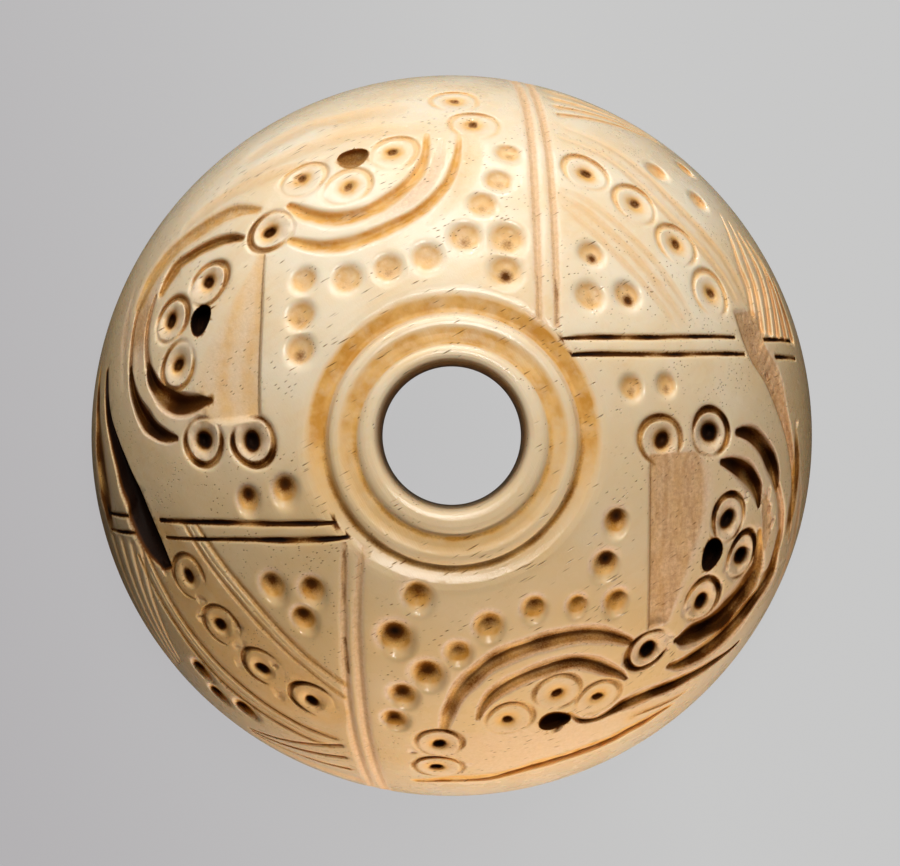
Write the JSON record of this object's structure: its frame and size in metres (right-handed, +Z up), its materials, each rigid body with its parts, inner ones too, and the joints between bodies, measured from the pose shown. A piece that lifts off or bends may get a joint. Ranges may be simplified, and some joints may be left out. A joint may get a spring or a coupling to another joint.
{
  "type": "spindle whorl",
  "caption": "Domed bone spindle whorl with a flat base, an upright spindle hole and carved ring-and-dot, comma and ruled-line ornament.",
  "frame": {"origin": "on the spindle hole's axis, in the plane of the flat underside that the whorl lies on", "axes": "+Z up the dome along the spindle hole; +X and +Y in the underside's plane, the ruled band of the ornament nearest square to +X and +Y"},
  "size_m": [0.03, 0.03, 0.0146],
  "materials": {
    "bone": "hand-polished compact bone, ivory cream, stained orange-brown in the cuts"
  },
  "bodies": {
    "root": {"whorl": "bone"}
  },
  "joints": []
}
